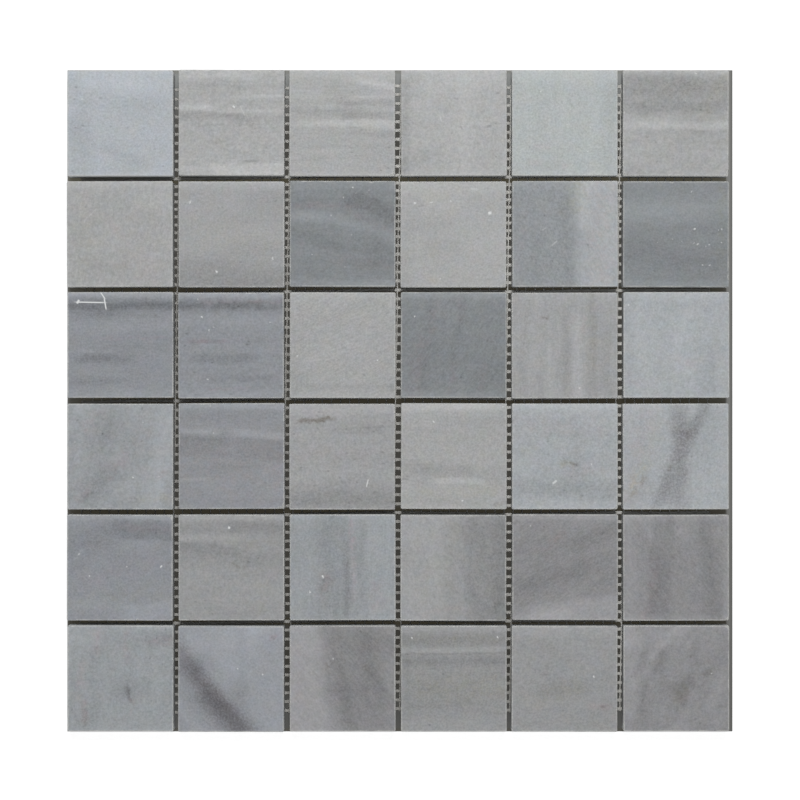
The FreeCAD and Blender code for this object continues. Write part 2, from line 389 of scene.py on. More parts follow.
        (1, 0, 80, 16, 3, -5), (0, 22.8, 0, 60, 2.6, 14), (0, -22.6, 0, 60, 2.4, 10),
    ], [
        ("rose", -17, -12, 84, 20, 7, 0, 45), ("rose", -9, 12, 80, 12, 3, 0, 45),
        ("rose", 3.4, 17, 86, 8, 3, 0, 50), ("rose", -1, -16, 80, 9, 3, 0, 45),
        ("rose", 13, -15, 80, 8, 3, 0, 40),
    ], [(-18, 13, 0.6)]),
    (3, 5): ("dove", (90, 0.9, 0.4, 0.6), [
        (6, -6, 91, 26, 3.8, 16), (-6.4, -13, 90, 18, 3.8, 11), (13, 0, 90, 40, 4, -10),
        (0.5, -4, 90, 26, 3, -9), (-13, 6, 90, 24, 4, 6), (19, -8, 90, 20, 3.4, -6),
        (-20, -12, 90, 14, 4, -6), (-11, -18, 90, 8, 2, -6),
    ], [
        ("ochre", 13, 6, 90, 28, 4.4, 0, 20), ("brown", -9, 12.6, 5, 2.2, 1.4, 0, 40),
        ("line", -17, 13.4, 30, 1.6, 1, 0, -12), ("line", 1, -7.6, 70, 1.8, 0.7, 0, -12),
        ("rose", 9, 10, 80, 6, 2, 0, 30),
    ], [(7, -19, 0.6)]),
    (3, 6): ("haze", (90, 0.3, 0.3, 0.7), [
        (15, -10, 90, 15, 8, -7), (-22, 0, 90, 34, 5, -7), (4, -11.5, 0, 5, 3, 6),
        (8, 18, 0, 18, 4, -5), (16, -14, 90, 12, 4, -5), (0, 0, 0, 90, 40, 5),
    ], [
        ("rose", 4, -8, -20, 9, 4, 0, 30), ("rose", -16, -17, 0, 8, 3, 0, 25),
    ], [(-21.5, 18, 0.5), (-23, 18, 0.4), (-2, 9.5, 0.4), (-14, 18, 0.4)]),
    (4, 1): ("steel", (66, 0.4, 0.5, 1.1), [
        (-5, 14, 70, 16, 12, -5), (-9, 0, 74, 20, 8, -6), (-9, -13, 40, 14, 8, -12),
        (-16, -18, 30, 6, 3, -8), (14, 17, 0, 14, 8, 9), (-22, 16, 60, 14, 5, 8),
        (18, -8, 74, 32, 9, 13), (-20, -3, 80, 10, 4, 5), (4, -15, 0, 10, 7, 7),
    ], [
        ("rose", -13, 16, 50, 8, 5, 0, 40), ("rose", -17, -18, 30, 5, 3, 0, 70),
        ("rose", 0, -4, 60, 9, 4, 0, 40), ("rose", 9, 10, 40, 10, 5, 0, 25),
        ("ochre", 16, -19, 0, 9, 3, 0, 40), ("rose", 18, -9, 60, 5, 2.6, 0, 40),
        ("rose", 0, 0, 0, 90, 40, 0, 15),
    ], [(5.5, -9.5, 0.6), (10, 15.5, 0.4), (-20.5, 6.5, 0.4), (17.6, -9, 0.4)]),
    (4, 2): ("pewter", (0, 0.4, 0.7, 0.7), [
        (-12, 7.4, 0, 12, 2, -7), (-4, -5, 0, 24, 3, -6), (-6, 18, 0, 30, 5, -6),
        (10, -14, 0, 30, 9, 7), (0, 22.8, 0, 60, 2.4, 10), (15, -8, 60, 8, 3, 5), (8, 8, 0, 40, 20, 4),
    ], [
        ("slab", -14, 4.6, -1, 16, 6.4, 0, -15), ("slab", 13, 2.8, -3, 17, 6.6, 0, -12),
        ("line", -15, 11, -2, 12, 2.2, 0, 13), ("line", 12, 9.8, -5, 15, 2.8, 0, 18),
        ("line", -17, -10.6, 2, 9, 1.4, 0, 11), ("rose", 0, -6, 0, 70, 34, 0, 30),
        ("ochre", 0, 0, 0, 90, 40, 0, 14),
    ], [(-8, 11, 0.5), (-10, 22.4, 0.4)]),
    (4, 3): ("dove", (2, 0.5, 0.5, 0.8), [
        (0, 21, 0, 40, 4, 7), (0, -20, 2, 70, 12, -18), (10, 12, 0, 16, 4, -9), (-11, 0, 0, 18, 11, -5),
        (14, -1, 0, 14, 6, -4), (-4, -12, 6, 12, 2, -5), (-16, -21, 0, 14, 3, -5),
    ], [
        ("brown", -12, 16.4, 6, 11, 1.8, 0, 55), ("brown", -9, 16.8, 8, 5, 1.1, 0, 35),
        ("brown", -16.5, 16.2, -30, 3.4, 1, 0, 30), ("rose", 0, 20, 2, 30, 5, 0, 10),
        ("rose", -8, 0, 0, 26, 5, 0, 20), ("scratch", 11.4, -12, 76, 2.2, 0.4, 0, 60),
        ("line", 15, 13.4, 2, 8, 0.9, 0, -8),
    ], []),
    (4, 4): ("pearl", (0, 0.4, 0.4, 0.7), [
        (-8, -5.4, -4, 20, 4.8, -11), (10, 16, 0, 22, 4.4, -7), (-8, -20.4, 0, 18, 1.6, -7),
        (-16, -3, 0, 8, 1.2, 6), (4, -8, 0, 26, 7, -6),
    ], [
        ("line", -4, 22.4, 2, 30, 2.6, 0, 14), ("line", 2, -11, 0, 15, 2.2, -0.006, 15),
        ("ochre", 0, -16, 0, 26, 5, 0, 30), ("line", -22, -10.4, 0, 1.8, 0.8, 0, -20),
        ("brown", 21, -21.5, 20, 4, 2, 0, 25),
    ], [(-9.5, 15.5, 0.6), (4, -20, 0.6), (22, 22.5, 0.5), (1.6, -20, 0.3), (-13.4, 4, 0.3)]),
    (4, 5): ("haze", (0, 0.3, 0.4, 0.8), [
        (5, 0, 90, 14, 7, -7), (4, -14.5, 0, 44, 7, -13), (0, 2, 0, 90, 34, -4.5),
        (16, 15, 0, 12, 8, 7), (8, -19, 0, 14, 2.4, -4), (0, 22.6, 0, 50, 2.4, 6),
    ], [
        ("brown", 2.4, -3.2, -10, 4.5, 2.2, 0, 20), ("brown", 2.4, -3, 0, 1.1, 0.9, 0, 45),
        ("vein", 4.1, -3.6, 0, 1.2, 0.8, 0, 50), ("ochre", 0, -4, 0, 5, 3, 0, 40),
        ("rose", 0, 14, 0, 28, 8, 0, 30), ("rose", 8, -6, 0, 12, 4, 0, 35),
        ("ochre", -16, 3, 0, 6, 3, 0, 30), ("scratch", -4.6, -11.6, 38, 1.5, 0.7, 0, 60),
    ], [(12, -3.6, 0.5), (0, -20, 0.3), (-15, 18, 0.3)]),
    (4, 6): ("haze", (68, 0.5, 0.5, 0.6), [
        (-3.6, 0, 70, 3, 1.6, 16), (15, 12, 74, 18, 9, -6), (-16, -16, 60, 12, 7, -7),
    ], [
        ("rose", -16, 6, 78, 44, 13, 0, 30), ("ochre", -12, 4, 70, 30, 8, 0, 15),
        ("vein", 0.9, -3, 75, 24, 8, 0, 44), ("vein", 1.6, 19, 84, 13, 7, 0, 42),
        ("vein", 11.2, 19, 66, 13, 4.6, 0, 44), ("vein", 2.8, 4, 66, 10, 5.2, 0, 26),
        ("vein", -7, -17, 66, 12, 4.4, 0, 24), ("vein", 3.4, -14, 86, 13, 5, 0, 26),
        ("brown", -2.8, -5.5, 60, 2.4, 1.4, 0, 40), ("brown", 1.6, -1, 60, 2.2, 1.6, 0, 15),
        ("brown", 6, 11, 40, 2.6, 1.2, 0, 15), ("ochre", -17, -10, 60, 11, 4, 0, 50),
        ("brown", -14.8, -11, 60, 2.8, 1.8, 0, 35), ("brown", -19, -16, 50, 3.4, 2, 0, 25),
    ], [(-22.5, 14, 0.4)]),
    (5, 1): ("pewter", (24, 0.4, 0.5, 0.8), [
        (-15, 5, 0, 12, 8, 9), (15, 15, 0, 12, 8, -8), (-11, 13, 25, 22, 11, -13),
        (-12, 4, 30, 14, 5, -7), (6, 10, 10, 16, 4, 8), (-9, -17, 0, 18, 7, 11),
        (-19, 6, 45, 4, 1.4, 14), (0, 22.8, 0, 60, 2.2, 10),
    ], [
        ("slab", 14, 17, -3, 22, 5.6, 0, -14), ("rose", 12, 17.5, -4, 16, 3.4, 0, 50),
        ("rose", 0, -2, 20, 26, 7, 0, 25), ("ochre", 2, -12, 10, 30, 8, 0, 25),
        ("slab", 16, -19.5, 8, 18, 5, 0, 15),
    ], [(3, 0.5, 0.5), (19, 0.8, 0.7), (-14, -4, 0.6), (-18.5, 6, 0.5)]),
    (5, 2): ("ash", (0, 0.3, 0.5, 0.7), [
        (14, 18, -3, 20, 5, -16), (-11, 13.6, -1, 20, 3.2, 15), (4, 4, -4, 26, 5, -8),
        (-4, -10, 0, 60, 18, 7), (0, 22.6, 0, 60, 2.2, 10), (-18, 18, 0, 10, 3, -4),
    ], [
        ("slab", -13, 8.8, -6, 20, 2.8, 0, -13), ("ochre", 9, 11.5, 0, 14, 3, 0, 25),
        ("brown", 2, 1.2, -30, 3, 1.4, 0, 30), ("brown", 6.4, 1.4, 60, 3, 1.4, 0, 25),
        ("ochre", 14, -14, 90, 12, 5, 0, 20),
    ], [(-1, 18, 1)]),
    (5, 3): ("steel", (88, 0.8, 0.4, 0.9), [
        (-4, 2, 90, 60, 13, -12), (-9, -8, 70, 5, 4, -12), (8, 4, 90, 26, 3.4, -7),
        (-8, 12, 80, 12, 4, -4), (1.5, -16, 90, 8, 2.4, -8), (5.4, -6, 90, 12, 1.6, 8),
    ], [
        ("vein", 2.2, -9, 92, 16, 2.4, 0, 24), ("vein", 1.4, 8, 88, 16, 2.6, 0, 11),
        ("rose", 4, 16, 88, 10, 2.4, 0, 70), ("rose", 5, 0, 90, 20, 2, 0, 50),
        ("rose", -9, -8, 70, 7, 5, 0, 60), ("slab", 18, 0, 90, 60, 8, 0, 5),
        ("rose", 15, -13, 90, 10, 5, 0, 40),
    ], [(-9.3, -4.4, 0.8), (-15, -10.8, 0.6)]),
    (5, 4): ("ash", (-70, 0.3, 0.9, 0.8), [
        (-15, 15, 0, 12, 8, 8), (22, -6, 90, 50, 8, -8), (11, 14, 86, 12, 3, 5),
        (0, 4, 90, 60, 34, 3.5), (6, -4, -70, 14, 2.4, -7), (20, -14, 80, 10, 4, -6),
    ], [
        ("slab", -17, 0, 88, 60, 18, 0, 12), ("slab", 17, 0, 93, 70, 15, 0, -17),
        ("ochre", -1, 10, 86, 26, 4, 0, 12), ("rose", -6, -19, 10, 12, 3, 0, 30),
        ("ochre", -10, -4, 60, 16, 6, 0, 12),
    ], []),
    (5, 5): ("flint", (34, 0.7, 2, 0.5), [
        (-12, -22, 6, 20, 4, 14), (-6, -5, 20, 26, 7, -11), (14, 15, 34, 16, 4, -8),
        (-17, 14, 50, 18, 4, -6), (12, 7, 20, 20, 3, 7), (0, 22.8, 0, 60, 2.2, 14),
        (-18, 2, 34, 8, 4, 6),
    ], [
        ("slab", 0, 3, 10, 50, 16, 0, -6), ("slab", 9, -20.6, 7, 34, 8.2, 0, 25),
        ("rose", -5, 12, 34, 9, 3, 0, 50),
    ], [(-15.5, 19, 0.4)]),
    (5, 6): ("flint", (-58, 0.4, 1.5, 0.7), [
        (-5, 15, 0, 12, 8, 8), (15, 0, 97, 44, 6.5, -17), (-21, 0, 90, 44, 6, 12),
        (0, 23, 0, 60, 3, 12), (23, -4, 90, 34, 3, 14), (0, -22.8, 0, 60, 2.4, 10),
        (-9, -12, 70, 12, 3, -6), (11, 17, 0, 13, 8, 12),
    ], [
        ("slab", -7, -2, 86, 50, 7, 0, -13), ("rose", -11, -10, 80, 18, 5, 0, 40),
    ], []),
    (6, 1): ("steel", (90, 0.2, 0.4, 0.8), [
        (5, -5, 0, 12, 8, -10), (4, 0, 90, 16, 5, -7), (18, 18, 10, 9, 4.6, -15),
        (-19, 18, 0, 14, 6, 7), (-12, -5, 90, 20, 5, -6),
    ], [
        ("vein", 3.8, -7, 104, 5, 1.4, 0, 50), ("vein", 3.4, -6, 90, 3, 2, 0, 25),
        ("rose", -11, 16, 80, 10, 4, 0, 50), ("rose", 2.4, 14, 88, 9, 3, 0, 50),
        ("rose", -18, 0, 84, 12, 3.6, 0, 50), ("brown", -16, -16.4, 88, 6, 2.6, 0, 25),
        ("rose", -16, -15, 88, 7, 3, 0, 70), ("rose", 18, 17, 0, 9, 4, 0, 60),
        ("rose", 5, -13, 90, 5, 2.6, 0, 50),
    ], []),
    (6, 2): ("pewter", (-48, 0.4, 0.7, 0.6), [
        (4, 14, 60, 30, 12, 17), (-20, -17, -50, 14, 6, 12), (0, 6, -30, 14, 6, 6),
        (-12, 17, 8, 18, 11, 23),
    ], [
        ("vein", -9.6, -6.7, -50, 38, 8.2, 0.0034, 56), ("vein", -4.4, -15.6, -47, 18, 9.2, 0.002, 42),
        ("vein", -12, -2.7, -52, 18, 5.4, 0.003, 22), ("brown", -8, -7.2, -50, 24, 4, 0.0034, 15),
        ("slab", 16, 0, 90, 50, 12, 0, 14), ("rose", 19, 19, 0, 2.6, 2, 0, 80),
        ("line", 19, 18.6, -40, 1.4, 0.8, 0, -20),
    ], [(14.5, 1.8, 0.6), (3, 4.6, 0.5), (9, 9.6, 0.3)]),
    (6, 3): ("flint", (-52, 0.5, 1.5, 0.6), [
        (-15, 15, 0, 12, 8, 7), (0, -5, 0, 14, 7, -8), (15, 15, 0, 12, 8, -7), (-5, 20, 94, 20, 6, -8),
        (1, -8, 98, 24, 5, -11), (17, -3, -56, 16, 4, -10), (20, 18, -56, 8, 4, -8),
        (12, 8, 96, 26, 9, -9),
    ], [
        ("slab", -20, 0, 98, 60, 15, 0, 27), ("slab", 8, 0, 96, 50, 14, 0, -9),
        ("ochre", 12, 16, -60, 16, 6, 0, 10), ("brown", -7.4, 6.2, -60, 2, 1.2, 0, 35),
        ("rose", -20, -4, 90, 26, 6, 0, 15),
    ], [(-4.6, 8.6, 0.5)]),
    (6, 4): ("ash", (4, 0.4, 0.5, 0.7), [
        (0, 18, 0, 44, 5.4, -13), (0, -2, 0, 90, 34, -7), (0, 7.8, 0, 44, 3.6, -14),
        (-21, 0, 90, 24, 4, -5), (-12, -5, 0, 6, 1.4, -8), (-8, -12, 4, 16, 3, -5),
        (0, -20, 0, 34, 4, 5), (18, -4, 0, 8, 5, 6),
    ], [
        ("line", -2, 13, 1, 34, 1.9, 0.0006, 16), ("vein", 0, 11.2, 1, 34, 0.8, 0.0006, 20),
        ("ochre", 3, -4, 0, 28, 11, 0, 35), ("ochre", 0, 18, 0, 30, 4, 0, 25),
    ], [(-19, 19, 0.6), (20, 18.6, 0.6)]),
    (6, 5): ("ash", (12, 0.3, 0.5, 0.7), [
        (0, -5, 0, 14, 7, -8), (5, 15, 0, 12, 8, 7), (0, 21, 0, 30, 4, 7), (-4, -5, 20, 14, 5, -5),
    ], [
        ("ochre", -4, -6, 20, 18, 8, 0, 30), ("rose", 16, -12.5, 0, 7, 2.6, 0, 50),
        ("line", 17.5, -12.6, 0, 2, 1, 0, -14),
    ], [(13.5, 0.8, 0.6)]),
    (6, 6): ("flint", (62, 0.5, 0.5, 1.7), [
        (3, -15, 0, 9, 8, -9), (-7, 15, 0, 9, 8, -6), (3, -3.4, 30, 7, 6, -20),
        (-7.4, 8, 70, 8, 4, -20), (-5, 17, 50, 14, 4, 18), (-21, 6, 90, 30, 7, 13),
        (18, -6, 70, 12, 5, 12), (-16, 6, 70, 8, 3, -10), (-15, -8, 80, 12, 3, -9),
        (8, 15, 70, 9, 5, -4), (2, 19, 60, 6, 2.4, 8), (12, -17, 0, 16, 6, 7), (1, 5, 60, 9, 6, 13),
        (-16, 17, 0, 14, 8, 17), (8, 17, 0, 15, 8, 13),
    ], [
        ("brown", 3.4, -8, 60, 5, 4, 0, 30), ("ochre", 2, -6, 60, 8, 6, 0, 30),
        ("brown", 14, 2.6, 20, 3, 2, 0, 28),
    ], [(16, 2.6, 0.5)]),
}

# How strongly the grain shows in a stain
PEPPER = 2.2

# Chips and rubbed corners along the tiles' upper edges, as x, y and radius
CHIPS = {
    (1, 3): [(23.2, -23.2, 2.0)],
    (1, 6): [(-23.2, -23.0, 2.0), (23.4, -22.6, 2.0), (-23.9, 5, 1.0)],
    (2, 2): [(-10.5, 23.9, 1.0)],
    (2, 3): [(13.2, 23.9, 1.4), (22.6, -23.9, 0.8)],
    (2, 4): [(23.2, -23.4, 1.6)],
    (2, 5): [(-23.8, 21.5, 1.2)],
    (2, 6): [(-23.9, 14, 1.0), (-23.9, 5, 0.9), (23.9, -19.5, 0.9), (-2, 23.9, 1.2)],
    (3, 2): [(22.8, 23.9, 1.2), (23.9, -22.6, 1.0)],
    (3, 6): [(-23.9, 18, 0.8)],
    (4, 2): [(22.8, -23.2, 2.2)],
    (4, 3): [(-23.8, -21, 1.2)],
    (4, 4): [(23.0, 23.8, 1.0)],
    (4, 5): [(23.4, -23.4, 1.4)],
    (5, 1): [(23.2, 23.4, 1.8), (8, -23.9, 1.0)],
    (5, 2): [(14.4, 23.9, 1.4)],
    (5, 3): [(-23.5, 23.5, 1.2)],
    (5, 5): [(23.6, -23.4, 1.2)],
    (5, 6): [(-23.9, 13, 1.2), (23.4, -23.4, 1.4)],
    (6, 6): [(23.3, 23.4, 1.2)],
}


def tile_place(tree, row, column):
    """Place on a tile in millimetres from the middle of its face."""
    low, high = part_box("tile_r%d_c%d" % (row, column))
    middle = (low + high) / 2
    coordinates = tree.add("TexCoord").outputs["Object"]
    moved = tree.mapped(coordinates, place=(-middle.x, -middle.y, -FACE_Z))
    return tree.vector("MULTIPLY", moved, (1 / MM, 1 / MM, 1 / MM))


def add_marks(tree, own, tone, hue, place, bent, grain, marks, crystals):
    """Colour of a tile's stone under its marks: those that change the tone, then the coloured."""
    broken = tree.ramp(tree.noise(own, 0.5, 3.0, 0.6), 0.3, 0.7, 0.8, 1.2, smooth=False)
    patchy = tree.ramp(tree.noise(own, 0.30, 4.0, 0.7), 0.38, 0.62, 0.1, 1.5, smooth=False)
    change = 0.0
    coloured = []
    for kind, x, y, turn, half_length, half_width, bend, strength in marks:
        core, wanders, work, tint = MARK_KINDS[kind]
        stroke = tree.add("Group", node_tree=MARK)
        for name, value in (
            ("Place", bent if wanders else place), ("Centre", (x, y, 0)),
            ("Turn", math.radians(turn)), ("Half Length", half_length), ("Half Width", half_width),
            ("Bend", bend), ("Core", core), ("Strength", strength / 100),
        ):
            tree.put(stroke.inputs[name], value)
        if work is None:
            change = tree.math("ADD", change, stroke.outputs[0])
        else:
            coloured.append((stroke.outputs[0], work, tint))
    scaled = tree.add("VectorMath", hue, operation="SCALE")
    tree.put(scaled.inputs["Scale"], tree.math("MULTIPLY_ADD", change, broken, tone))
    colour = scaled.outputs["Vector"]
    pepper = tree.math("MULTIPLY", tree.math("SUBTRACT", 0.5, grain), PEPPER)
    for mask, work, tint in coloured:
        if work == "stain":
            partly = tree.math("MULTIPLY", mask, tree.math("SUBTRACT", 1.0, mask))
            mask = tree.math("MULTIPLY_ADD", partly, pepper, mask, clamp=True)
        elif work == "tinge":
            mask = tree.math("MULTIPLY", mask, patchy, clamp=True)
        colour = tree.mix(mask, colour, tint, "MIX" if work == "cover" else "MULTIPLY")
    for x, y, radius in crystals:
        reach = tree.vector("DISTANCE", bent, (x, y, 0))
        bright = min(0.85, 1.5 * radius - 0.25)
        colour = tree.mix(tree.ramp(reach, 0.3 * radius, radius, bright, 0.0), colour, WHITE_CALCITE)
    return colour


# How far a stroke's edges wander; how deep the grain lies in the tone; how deep the hue is
# mottled, red, green and blue; the strips of painted light along a face's upper and lower
# edges, as inner and outer edge, how steeply they come in, and how pale they make it; and
# where below the face a side is sawn
PUSH = 4.2
GRAIN_DEPTH = 0.68
TINGE_DEPTH = (0.19, 0.0, 0.23)
PAINTED_EDGE_LIGHT = (
    (HALF_TILE - 7.5, HALF_TILE, 2.2, 0.15),
    (3.5 - HALF_TILE, -HALF_TILE, 2.0, 0.09),
)
SAWN_BELOW = (-0.35, -0.7)


def bare_stone(tree, own, northward, bed):
    """Tone, grain and mottle of a tile's stone before its marks, with painted light along its upper and
    lower edges.
    """
    run, streaking, hatching, clouding = bed

    # Clouds, streaks and hatching along the run of the bed, mottle and grain
    turned = tree.mapped(own, turn=(0, 0, -math.radians(run)))
    cloud = tree.noise(tree.mapped(turned, scale=(0.5, 1, 1)), 0.085, 2.0, 0.5, 0.3)
    streak = tree.noise(tree.mapped(turned, scale=(0.12, 1, 1)), 0.60, 3.0, 0.6)
    hatch = tree.noise(tree.mapped(turned, scale=(0.20, 1, 1)), 1.45, 2.0, 0.55)
    mottle = tree.noise(own, 0.42, 2.0, 0.5)
    grain = tree.noise(own, 1.08, 2.0, 0.65)
    tone = 1.0
    for layer, depth in (
        (cloud, 0.26 * clouding), (streak, 0.24 * streaking), (hatch, 0.22 * hatching),
        (mottle, 0.15 + 0.14 * clouding), (grain, GRAIN_DEPTH),
    ):
        tone = tree.math("MULTIPLY_ADD", tree.math("SUBTRACT", layer, 0.5), depth, tone)

    # Dark flecks, a little longer along the run
    flecked = tree.mapped(turned, scale=(0.62, 1, 1))
    distance, pick = tree.cells(flecked, 0.40)
    chance = tree.add("SeparateColor", pick).outputs
    size = tree.ramp(chance[1], 0.0, 1.0, 0.10, 0.30, smooth=False)
    fleck = tree.ramp(tree.math("DIVIDE", distance, size), 0.2, 1.0, 1.0, 0.0)
    fleck = tree.math("MULTIPLY", fleck, tree.ramp(chance[0], 0.56, 0.64))
    fleck_depth = tree.ramp(chance[2], 0.0, 1.0, 0.07, 0.28, smooth=False)
    tone = tree.math("SUBTRACT", tone, tree.math("MULTIPLY", fleck, fleck_depth))

    # Painted light: the face is paler in a strip along its upper edge and, less so, along its lower
    # edge
    for inner, outer, power, haze in PAINTED_EDGE_LIGHT:
        strip = tree.math("POWER", tree.ramp(northward, inner, outer, smooth=False), power)
        tone = tree.math("MULTIPLY_ADD", strip, haze, tone)
    return tone, grain, mottle


def dress_sides(tree, own, height, colour):
    """Sides sawn, paler and lined, their pale colour partly painted light on the joints' walls, and a
    film of adhesive on the back.
    """
    sawn = tree.ramp(height, *SAWN_BELOW)
    lines = tree.noise(tree.mapped(own, scale=(0.10, 0.10, 1.6)), 1.5, 2.0, 0.6)
    dusted = tree.ramp(lines, 0.3, 0.7, 0.6, 1.0)
    # The sawn sides' pale colour is partly painted light on the joints' walls
    colour = tree.mix(tree.math("MULTIPLY", sawn, dusted), colour, SAWN_SIDE_WITH_PAINTED_LIGHT)
    back = (BACK_Z - FACE_Z) / MM
    backed = tree.ramp(height, back + 0.15, back + 0.05)
    smear = tree.ramp(tree.noise(own, 0.16, 3.0, 0.6), 0.40, 0.60, 0.25, 0.85)
    film = tree.math("MULTIPLY", backed, smear)
    return tree.mix(film, colour, ADHESIVE_FILM), sawn, lines, film


def marble(row, column):
    """Honed grey marble for one tile, with its own stone, hue, marks, sides and back."""
    shade, bed, clouds, marks, crystals = TILES[row, column]
    marks = [("cloud", *cloud[:5], 0, cloud[5]) for cloud in clouds] + marks
    material, tree = new_material("marble_r%d_c%d" % (row, column))
    place = tile_place(tree, row, column)
    own = tree.vector("ADD", place, (137.0 * row, 211.0 * column, 31.0 * (row + column)))
    parts = tree.add("SeparateXYZ", place).outputs
    tone, grain, mottle = bare_stone(tree, own, parts[1], bed)

    # A slightly pushed place, so that strokes and clouds have natural edges
    push = tree.vector("MULTIPLY", tree.drift(own, 0.22, 0.62), (PUSH, PUSH, 0.0))
    bent = tree.vector("ADD", place, push)

    # A faint mottling of the hue, rosy and green, blue and yellow
    tinge = tree.vector("MULTIPLY_ADD", tree.drift(own, 0.18, 0.68), TINGE_DEPTH, (1.0, 1.0, 1.0))
    hue = tree.vector("MULTIPLY", tinge, SHADES[shade][:3])
    colour = add_marks(tree, own, tone, hue, place, bent, grain, marks, crystals)
    colour, sawn, lines, film = dress_sides(tree, own, parts[2], colour)

    # The arris is bruised pale, and so are the chips
    wear = tree.add("Attribute", attribute_name="wear").outputs["Fac"]
    ragged = tree.ramp(grain, 0.3, 0.7, 0.45, 0.70)
    colour = tree.mix(tree.math("MULTIPLY", wear, ragged), colour, BRUISED_EDGE)

    rough = tree.ramp(mottle, 0.2, 0.8, 0.5, 0.66)
    rough = tree.math("MULTIPLY_ADD", sawn, 0.15, rough)
    rough = tree.math("MULTIPLY_ADD", film, -0.40, rough)
    height = tree.math("ADD", tree.math("MULTIPLY", grain, 0.6), tree.math("MULTIPLY", mottle, 0.4))
    height = tree.math("ADD", height, tree.math("MULTIPLY", sawn, lines))
    finish_material(tree, colour, rough, tree.bump(height, 0.25))
    return material


def glass_fibre(name, along):
    """Coated glass-fibre yarn along one axis, with painted shade darkening it towards the sheet's lower
    left corner.
    """
    material, tree = new_material(name)
    place = tree.place()
    stretch = (0.06, 3.0, 3.0) if along == "X" else (3.0, 0.06, 3.0)
    strands = tree.noise(tree.mapped(place, scale=stretch), 2.0, 2.0, 0.6)
    patches = tree.noise(place, 0.35, 2.0, 0.5)
    colour = tree.mix(strands, YARN_DULL, YARN_BRIGHT)
    colour = tree.mix(tree.ramp(patches, 0.4, 0.7, 0.0, 0.35), colour, YARN_SOILED)
    # Painted shade: the yarn darkens towards the sheet's lower left corner
    painted_shade = tree.ramp(tree.vector("DOT_PRODUCT", place, (-0.8, -0.6, 0.0)), -70.0, 60.0, 0.0, 0.50)
    colour = tree.mix(painted_shade, colour, YARN_PAINTED_SHADE)
    finish_material(tree, colour, 0.55, tree.bump(strands, 0.5))
    return material


# Rings cut round a tile's upper face, counted inwards from the arris; how finely its long
# and its upright edges are divided; the rim that wears, as its depth and the width of the
# bruised arris; how deep a bruise is; and how deep a chip is, as a share of its radius, how
# uneven that is, how much less it cuts into a side, and how much it takes off there
FACE_RINGS = (0.10, 0.16)
EDGE_CUTS = 90
SIDE_CUTS = 3
ARRIS_DROP = 0.36
BRUISE_REACH = 0.5
BRUISE_DEPTH = 0.03
CHIP_DEPTH = 0.42
CHIP_ROUGHNESS = 0.2
CHIP_SIDE = 0.25
CHIP_DROP = 0.8


def cut_finely(bm):
    """Rings round a tile's upper face, and edges cut finely enough to chip and wear."""
    top = max((f for f in bm.faces if f.normal.z > 0.9), key=lambda f: f.calc_area())
    bottom = max((f for f in bm.faces if f.normal.z < -0.9), key=lambda f: f.calc_area())
    for ring in FACE_RINGS:
        bmesh.ops.inset_region(bm, faces=[top], thickness=ring * MM, use_even_offset=True)
    bmesh.ops.delete(bm, geom=[top, bottom], context="FACES_ONLY")
    upright = [e for e in bm.edges if abs(e.verts[0].co.z - e.verts[1].co.z) > 5 * MM]
    bmesh.ops.subdivide_edges(bm, edges=upright, cuts=SIDE_CUTS, use_grid_fill=True)
    long_edges = [e for e in bm.edges if e.calc_length() > 30 * MM]
    bmesh.ops.subdivide_edges(bm, edges=long_edges, cuts=EDGE_CUTS, use_grid_fill=True)
    bmesh.ops.holes_fill(bm, edges=[e for e in bm.edges if e.is_boundary])


def wear_rim(bm, middle, chips):
    """Bruise a tile's arris and break its chips out, and note on the rim how worn it is."""
    wear = bm.verts.layers.float.new("wear")
    for vert in [v for v in bm.verts if v.co.z > FACE_Z - ARRIS_DROP * MM]:
        away = (vert.co - middle) / MM
        inward = Vector((-away.x, -away.y, 0)).normalized()
        on_side = vert.co.z < FACE_Z - 0.01 * MM
        bruised = HALF_TILE - max(abs(away.x), abs(away.y)) < BRUISE_REACH
        if bruised:
            ragged = noise.noise(vert.co / (5.0 * MM)) + 0.3 * noise.noise(vert.co / (0.9 * MM))
            vert[wear] = min(1.0, max(0.2, 0.72 + 0.7 * ragged))
            vert.co += inward * BRUISE_DEPTH * MM * max(0.0, 0.4 + ragged)
        for x, y, radius in chips:
            reach = math.hypot(away.x - x, away.y - y) / radius
            if reach < 1.0:
                uneven = CHIP_ROUGHNESS * noise.noise(vert.co / (0.5 * MM))
                depth = radius * (1 - reach * reach) * (CHIP_DEPTH + uneven)
                vert[wear] = 1.0 if bruised else 0.0
                vert.co += inward * (CHIP_SIDE if on_side else 1.0) * depth * MM
                if on_side:
                    vert.co.z -= CHIP_DROP * depth * MM


def make_tile(row, column):
    """A tile with the CAD tile's own faces, its arris worn and chipped."""
    node = "tile_r%d_c%d" % (row, column)
    bm = bmesh.new()
    bm.from_mesh(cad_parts[node].data)
    bmesh.ops.remove_doubles(bm, verts=bm.verts, dist=MERGE)
    bmesh.ops.dissolve_limit(bm, angle_limit=math.radians(0.5), verts=bm.verts, edges=bm.edges)
    cut_finely(bm)
    low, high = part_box(node)
    wear_rim(bm, (low + high) / 2, CHIPS.get((row, column), ()))
    for face in bm.faces:
        face.smooth = False
    mesh = bpy.data.meshes.new("marble_" + node)
    bm.to_mesh(mesh)
    bm.free()
    carried = mesh.attributes.get("custom_normal")
    if carried:
        mesh.attributes.remove(carried)
    piece = bpy.data.objects.new("marble_" + node, mesh)
    bpy.context.scene.collection.objects.link(piece)
    mesh.materials.append(marble(row, column))
    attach(piece, "root")
    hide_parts(node)


